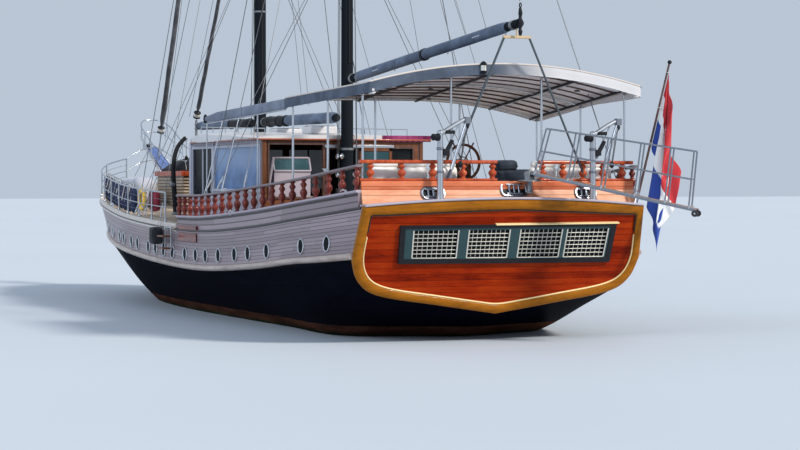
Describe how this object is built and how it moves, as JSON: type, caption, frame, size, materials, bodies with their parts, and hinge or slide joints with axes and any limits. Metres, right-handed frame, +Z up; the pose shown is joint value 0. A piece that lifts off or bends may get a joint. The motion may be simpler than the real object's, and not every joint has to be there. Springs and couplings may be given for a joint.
{
  "type": "two-masted motor sailing yacht",
  "caption": "Wooden two-masted motor sailing yacht afloat, with raked transom, turned balustrades, deckhouse, aft canopy, furled sails and a passerelle.",
  "frame": {"origin": "on the centreline at the waterline, 14 m forward of the transom's top edge", "axes": "+X to the bow, +Y to port, +Z up"},
  "size_m": [33.2237, 8.535, 31],
  "materials": {
    "planking": "mauve brown painted planks over a dark bottom",
    "mahogany": "varnished red brown wood",
    "teak": "oiled wood",
    "pale_rail": "pale painted rail",
    "bottom": "dark antifouling",
    "spar": "dark blue grey paint",
    "boom_cover": "slate blue sail cover",
    "canvas": "slate blue awning canvas",
    "steel": "polished stainless tube",
    "wire": "stainless wire",
    "white_roof": "white gel coat",
    "door_glass": "tinted glass in a frame",
    "dark_cover": "dark weatherproof cloth",
    "cushion": "white padded cloth",
    "bronze": "cast bronze",
    "flag_cloth": "plain red, white and blue bands",
    "fender_rubber": "black rubber"
  },
  "bodies": {
    "yacht": {"hull": "planking", "keel": "bottom", "rubbing_strake_port": "pale_rail", "rubbing_strake_starboard": "pale_rail", "bulwark_port": "planking", "bulwark_starboard": "planking", "balustrade_port": "mahogany", "balustrade_starboard": "mahogany", "stern_bulwark": "mahogany", "stern_balustrade_port": "mahogany", "stern_balustrade_starboard": "mahogany", "toe_rail_port": "pale_rail", "toe_rail_starboard": "pale_rail", "foredeck_rail_port": "steel", "foredeck_rail_starboard": "steel", "bowsprit": "teak", "pulpit": "steel", "main_mast": "spar", "mizzen_mast": "spar", "outer_forestay": "dark_cover", "inner_forestay": "dark_cover", "main_shroud_port": "wire", "main_shroud_starboard": "wire", "mizzen_shroud_port": "wire", "mizzen_shroud_starboard": "wire", "backstay_port": "wire", "backstay_starboard": "wire", "triatic_stay": "wire", "deckhouse_side_port": "teak", "deckhouse_side_starboard": "teak", "deckhouse_front": "teak", "deckhouse_aft": "teak", "deckhouse_roof": "white_roof", "canopy": "canvas", "canopy_frame": "steel", "side_awning": "canvas", "side_awning_rail": "steel", "flagstaff": "teak", "flag": "flag_cloth", "helm_pedestal": "teak", "stern_settee_port": "cushion", "stern_settee_starboard": "cushion", "foredeck_trunk": "teak", "locker_cover": "dark_cover", "fender_row": "dark_cover", "side_fender": "fender_rubber"},
    "rudder": {"rudder": "bottom"},
    "propeller": {"propeller": "bronze"},
    "helm": {"helm_wheel": "teak"},
    "mizzen_boom": {"mizzen_boom": "boom_cover"},
    "main_boom": {"main_boom": "boom_cover"},
    "staysail_boom": {"staysail_boom": "boom_cover"},
    "door": {"deckhouse_door": "door_glass"},
    "davit_port": {"davit_port": "steel"},
    "davit_starboard": {"davit_starboard": "steel"},
    "turntable": {"passerelle_turntable": "steel"},
    "passerelle": {"passerelle": "steel"},
    "ladder": {"boarding_ladder": "teak"},
    "hatch": {"hatch_lid": "teak"},
    "crane": {"deck_crane": "spar"}
  },
  "joints": [
    {"name": "helm_turn", "type": "hinge", "parent": "yacht", "child": "helm", "pos_m": [-10.6, -0.4, 4.18], "axis": [1, 0, 0], "range_deg": [-540, 540]},
    {"name": "rudder_turn", "type": "hinge", "parent": "yacht", "child": "rudder", "pos_m": [-8, 0, -2], "axis": [0, 0, 1], "range_deg": [-35, 35]},
    {"name": "propeller_spin", "type": "hinge", "parent": "yacht", "child": "propeller", "pos_m": [-7.36, 0, -1.7], "axis": [1, 0, 0], "continuous": true},
    {"name": "mizzen_boom_swing", "type": "hinge", "parent": "yacht", "child": "mizzen_boom", "pos_m": [-3.835, 0, 6.5], "axis": [0, 0, 1], "range_deg": [-15, 15]},
    {"name": "main_boom_swing", "type": "hinge", "parent": "yacht", "child": "main_boom", "pos_m": [3.7, 0, 5.52], "axis": [0, 0, 1], "range_deg": [-25, 25]},
    {"name": "staysail_boom_swing", "type": "hinge", "parent": "yacht", "child": "staysail_boom", "pos_m": [10.6, 0, 5.56], "axis": [0, 0, 1], "range_deg": [-25, 25]},
    {"name": "door_slide", "type": "slide", "parent": "yacht", "child": "door", "axis": [0, 1, 0], "range_m": [0, 0.95]},
    {"name": "davit_port_slew", "type": "hinge", "parent": "yacht", "child": "davit_port", "pos_m": [-14.045, 1.68, 4], "axis": [0, 0, 1], "range_deg": [-90, 0]},
    {"name": "davit_starboard_slew", "type": "hinge", "parent": "yacht", "child": "davit_starboard", "pos_m": [-14.045, -2.18, 4], "axis": [0, 0, 1], "range_deg": [-90, 0]},
    {"name": "passerelle_slew", "type": "hinge", "parent": "yacht", "child": "turntable", "pos_m": [-14.06, -0.55, 3.6], "axis": [0, 0, 1], "range_deg": [-90, 0]},
    {"name": "passerelle_luff", "type": "hinge", "parent": "turntable", "child": "passerelle", "pos_m": [-14.06, -0.55, 3.88], "axis": [-0.7748, 0.6322, 0], "range_deg": [-10, 55]},
    {"name": "ladder_fold", "type": "hinge", "parent": "yacht", "child": "ladder", "pos_m": [-0.25, 4.1, 2.42], "axis": [1, 0, 0], "range_deg": [0, 85]},
    {"name": "hatch_lid_lift", "type": "hinge", "parent": "yacht", "child": "hatch", "pos_m": [8.5, 0, 4.055], "axis": [0, 1, 0], "range_deg": [0, 80]},
    {"name": "crane_slew", "type": "hinge", "parent": "yacht", "child": "crane", "pos_m": [4.35, 2.55, 3], "axis": [0, 0, 1], "range_deg": [-90, 90]}
  ],
  "couplings": [
    {"joint": "rudder_turn", "follows": "helm_turn", "ratio": 0.0648}
  ]
}
